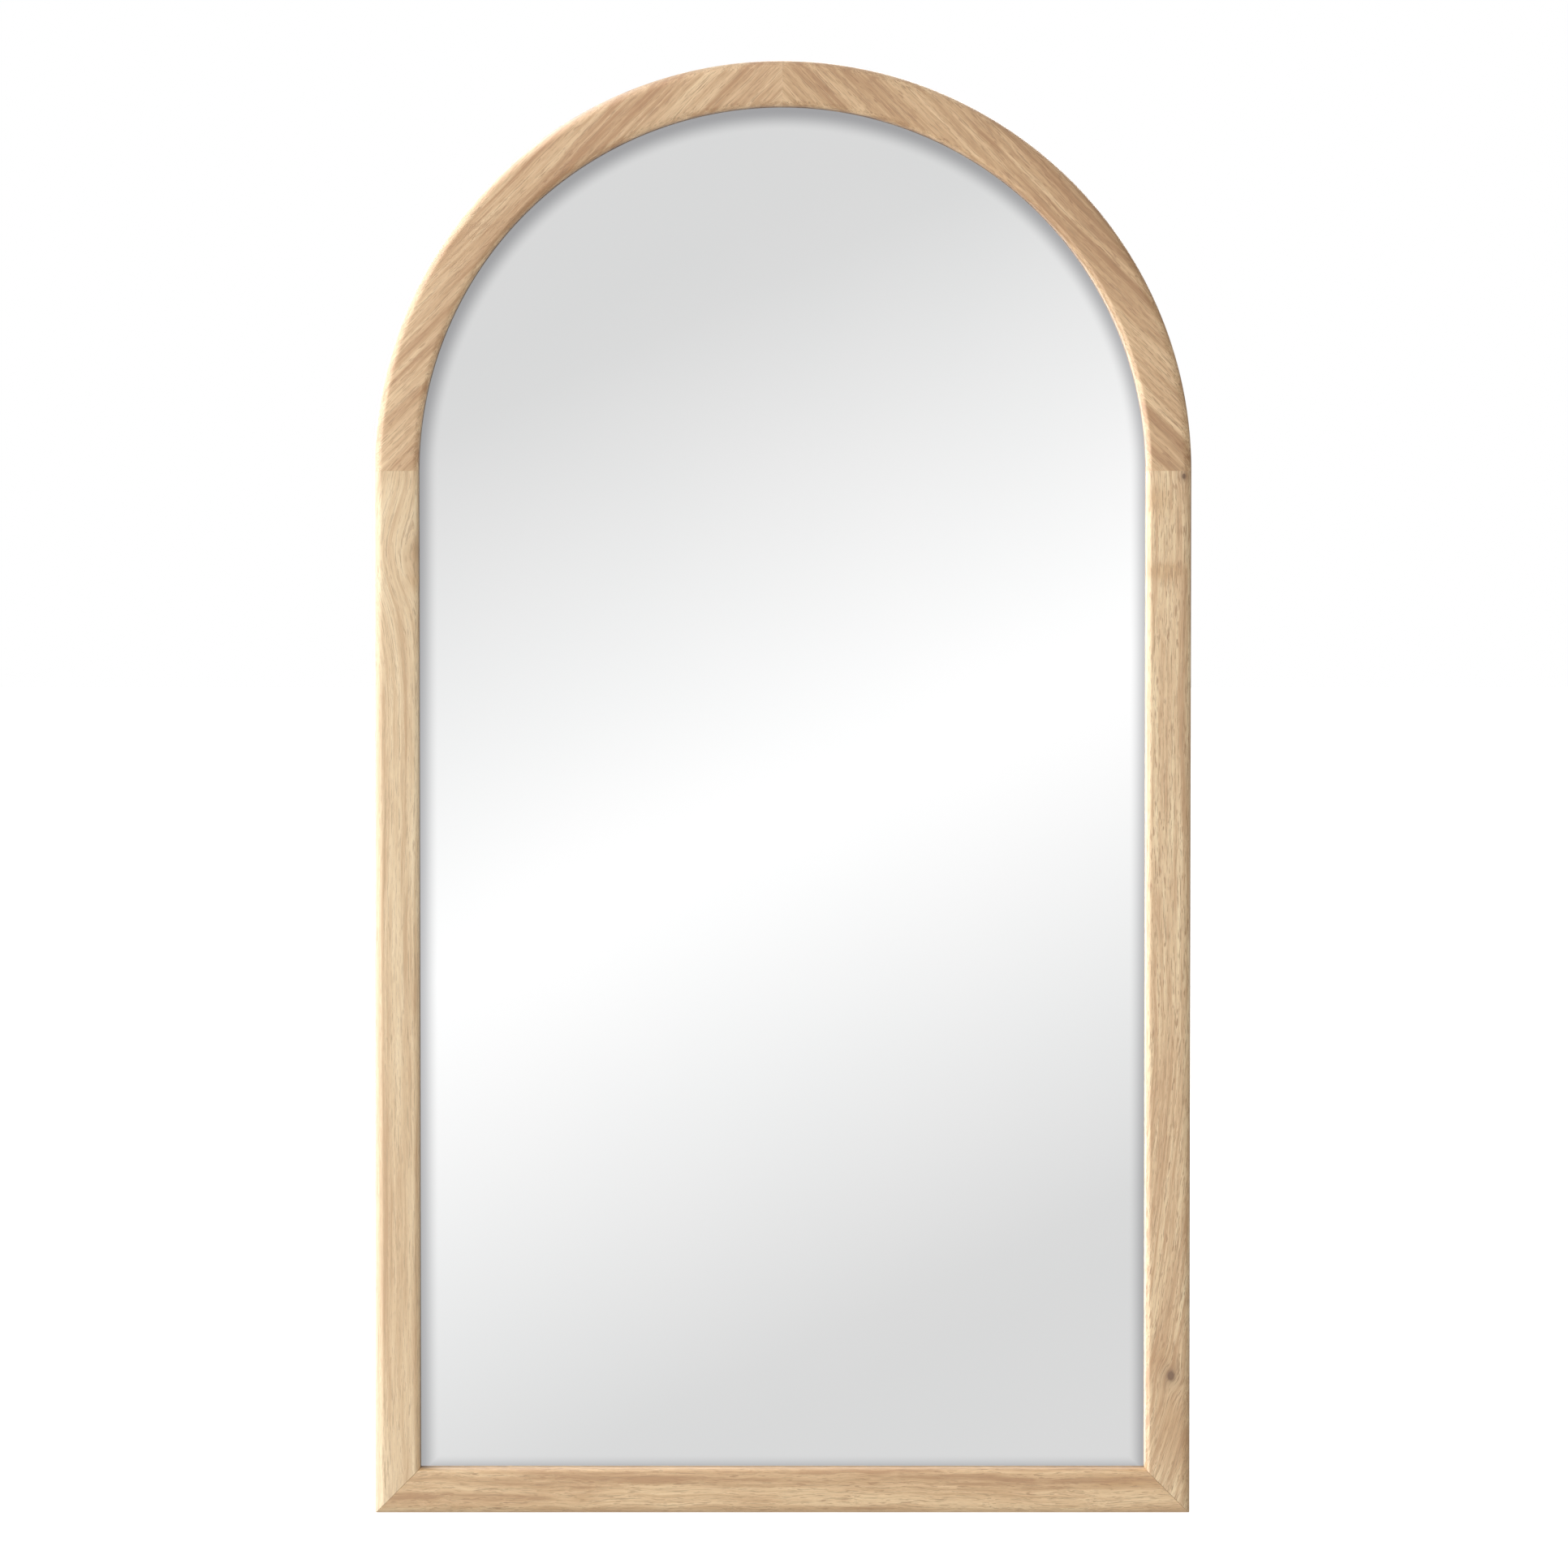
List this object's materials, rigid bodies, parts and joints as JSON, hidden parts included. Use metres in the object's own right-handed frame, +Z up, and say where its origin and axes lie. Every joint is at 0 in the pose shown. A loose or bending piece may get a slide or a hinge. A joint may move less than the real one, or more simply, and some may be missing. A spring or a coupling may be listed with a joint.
{
  "type": "floor mirror",
  "caption": "Free-standing full-length mirror: arch-topped oak frame on a folding rear easel, with rings at the back.",
  "frame": {"origin": "on the floor, at the middle of the footprint of the open mirror", "axes": "+Z up, the glass faces -Y and leans back 8 degrees towards +Y, +X to the right seen from the front"},
  "size_m": [0.9, 0.3666, 1.584],
  "materials": {
    "frame_oak": "satin",
    "easel_oak": "satin",
    "beech": "matte",
    "mirror": "polished",
    "foam": "matte",
    "fibreboard": "matte",
    "screw_steel": "satin",
    "bracket_steel": "satin",
    "bolt_steel": "satin",
    "ring_steel": "satin",
    "nylon": "satin",
    "rubber": "matte"
  },
  "bodies": {
    "mirror": {"left_stile": "frame_oak", "right_stile": "frame_oak", "left_arch": "frame_oak", "right_arch": "frame_oak", "bottom_rail": "frame_oak", "hinge_rail": "frame_oak", "brace_rail": "frame_oak", "frame_dowels": "beech", "mirror_glass": "mirror", "glass_tape": "foam", "foam_sheet": "foam", "backing_board": "fibreboard", "board_screws": "screw_steel", "rail_screws": "screw_steel", "bracket_screws": "screw_steel", "ring_strap_screws": "screw_steel", "left_pivot_bracket": "bracket_steel", "right_pivot_bracket": "bracket_steel", "left_pivot_bolt": "bolt_steel", "right_pivot_bolt": "bolt_steel", "left_pivot_nut": "bolt_steel", "right_pivot_nut": "bolt_steel", "left_ring_strap": "ring_steel", "right_ring_strap": "ring_steel", "floor_pads": "rubber", "fold_bumpers": "rubber"},
    "easel": {"easel_left_leg": "easel_oak", "easel_right_leg": "easel_oak", "easel_upper_rail": "easel_oak", "easel_lower_rail": "easel_oak", "easel_dowels": "beech", "left_pivot_bush": "nylon", "right_pivot_bush": "nylon", "pivot_washers": "nylon", "easel_left_foot": "rubber", "easel_right_foot": "rubber"},
    "left_ring": {"left_hanging_ring": "ring_steel"},
    "right_ring": {"right_hanging_ring": "ring_steel"}
  },
  "joints": [
    {"name": "easel_fold", "type": "hinge", "parent": "mirror", "child": "easel", "pos_m": [0, 0.02348, 1.06235], "axis": [-1, 0, 0], "range_deg": [0, 16]},
    {"name": "left_ring_swing", "type": "hinge", "parent": "mirror", "child": "left_ring", "pos_m": [-0.433, -0.00703, 0.95556], "axis": [1, 0, 0], "range_deg": [-8, 168]},
    {"name": "right_ring_swing", "type": "hinge", "parent": "mirror", "child": "right_ring", "pos_m": [0.433, -0.00703, 0.95556], "axis": [1, 0, 0], "range_deg": [-8, 168]}
  ]
}
